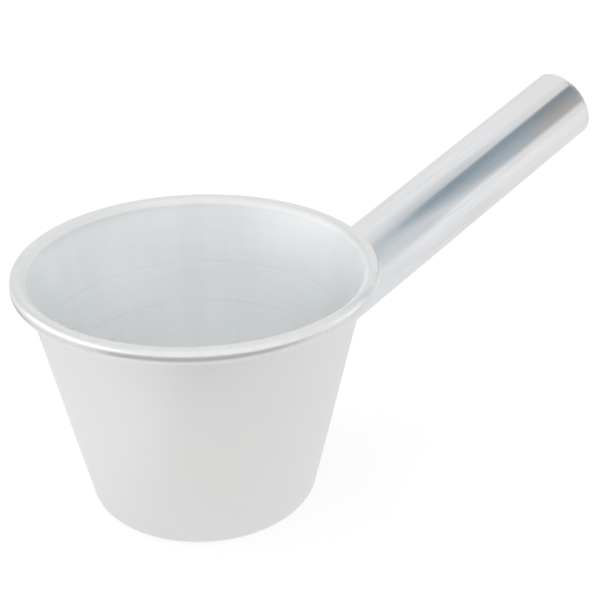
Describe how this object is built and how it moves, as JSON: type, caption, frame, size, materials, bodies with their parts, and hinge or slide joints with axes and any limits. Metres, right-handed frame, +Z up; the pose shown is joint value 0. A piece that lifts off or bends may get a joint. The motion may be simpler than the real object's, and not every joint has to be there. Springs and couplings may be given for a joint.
{
  "type": "ice scoop",
  "caption": "Spun aluminium dipper: tapered cup with a flat base and rolled rim, and a straight tube handle welded to its wall and rising away from it.",
  "frame": {"origin": "centre of the cup's flat base, on the surface that the scoop stands on", "axes": "+Z up along the cup's axis; +X towards the handle, which rises from the wall in the XZ plane; the scoop is the same on both sides of that plane"},
  "size_m": [0.3299, 0.1634, 0.1576],
  "materials": {
    "spun_aluminium": "satin, fine spin lines around the cup",
    "polished_tube": "polished, with fine lines along the tube",
    "polished_cap": "polished, with fine turned lines",
    "weld_metal": "as welded, brushed over"
  },
  "bodies": {
    "root": {"cup": "spun_aluminium", "handle_tube": "polished_tube", "handle_end_cap": "polished_cap", "handle_weld": "weld_metal", "cap_seam_weld": "weld_metal"}
  },
  "joints": []
}
